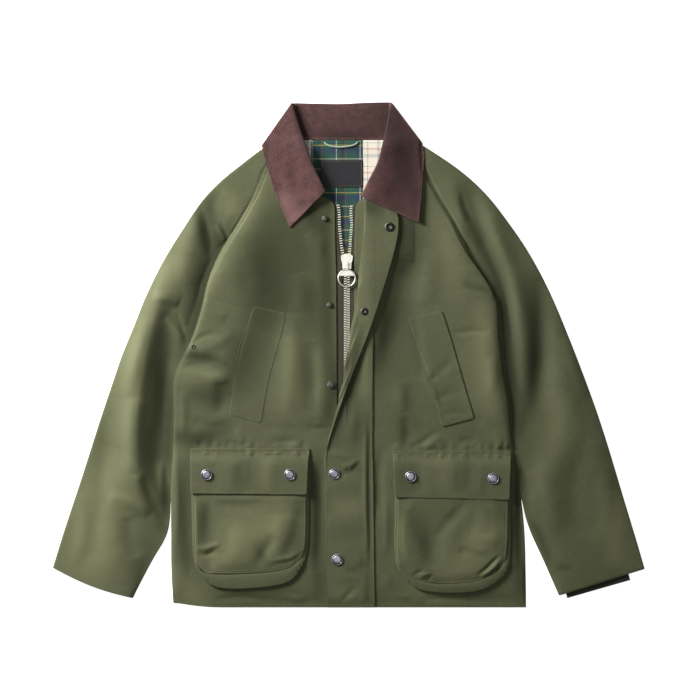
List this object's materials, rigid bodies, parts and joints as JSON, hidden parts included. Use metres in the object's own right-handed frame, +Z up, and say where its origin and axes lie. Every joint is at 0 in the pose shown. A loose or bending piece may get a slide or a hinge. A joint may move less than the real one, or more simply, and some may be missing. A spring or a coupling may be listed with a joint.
{
  "type": "waxed cotton jacket",
  "caption": "Hip-length olive waxed cotton jacket laid flat, with a brown corduroy collar, check lining, ring-pull zip under a storm flap, and bellows and slanted chest pockets.",
  "frame": {"origin": "centre of the box round the laid-out jacket, on the surface it lies on", "axes": "+X towards the wearer's left sleeve, +Y from the hem to the collar, +Z up out of the front"},
  "size_m": [0.9478, 0.8092, 0.0175],
  "materials": {
    "waxed_cotton": "waxed, faint sheen",
    "corduroy": "short pile, matte",
    "check_lining": "woven check, matte",
    "label": "woven, bare",
    "loop": "woven cord",
    "knit": "ribbed knit",
    "zip_tape": "woven tape",
    "zip_metal": "pale nickel",
    "snap_metal": "antique nickel"
  },
  "bodies": {
    "jacket": {"back": "waxed_cotton", "front_right": "waxed_cotton", "front_left": "waxed_cotton", "sleeve_right": "waxed_cotton", "sleeve_left": "waxed_cotton", "storm_flap": "waxed_cotton", "welt_right": "waxed_cotton", "welt_left": "waxed_cotton", "pocket_face_right": "waxed_cotton", "pocket_face_left": "waxed_cotton", "pocket_gusset_right": "waxed_cotton", "pocket_gusset_left": "waxed_cotton", "pocket_flap_right": "waxed_cotton", "pocket_flap_left": "waxed_cotton", "collar": "corduroy", "lining": "check_lining", "neck_label": "label", "hanger_loop": "loop", "storm_cuff_left": "knit", "zip_tape_right": "zip_tape", "zip_tape_left": "zip_tape", "zip_chain_right": "zip_metal", "zip_chain_left": "zip_metal", "zip_slider": "zip_metal", "eyelet_right": "snap_metal", "snap_cap_right_outer": "snap_metal", "snap_cap_right_inner": "snap_metal", "snap_cap_left_inner": "snap_metal", "snap_cap_left_outer": "snap_metal", "snap_cap_flap_upper": "snap_metal", "snap_cap_flap_lower": "snap_metal", "snap_stud_neck": "snap_metal", "snap_stud_chest": "snap_metal", "snap_stud_waist": "snap_metal", "snap_socket_neck": "snap_metal", "snap_socket_chest": "snap_metal"},
    "zip_pull": {"zip_pull": "zip_metal"}
  },
  "joints": [
    {"name": "zip_pull_swing", "type": "hinge", "parent": "jacket", "child": "zip_pull", "pos_m": [-0.003, 0.1445, 0.0091], "axis": [-1, 0, 0], "range_deg": [0, 180]}
  ]
}
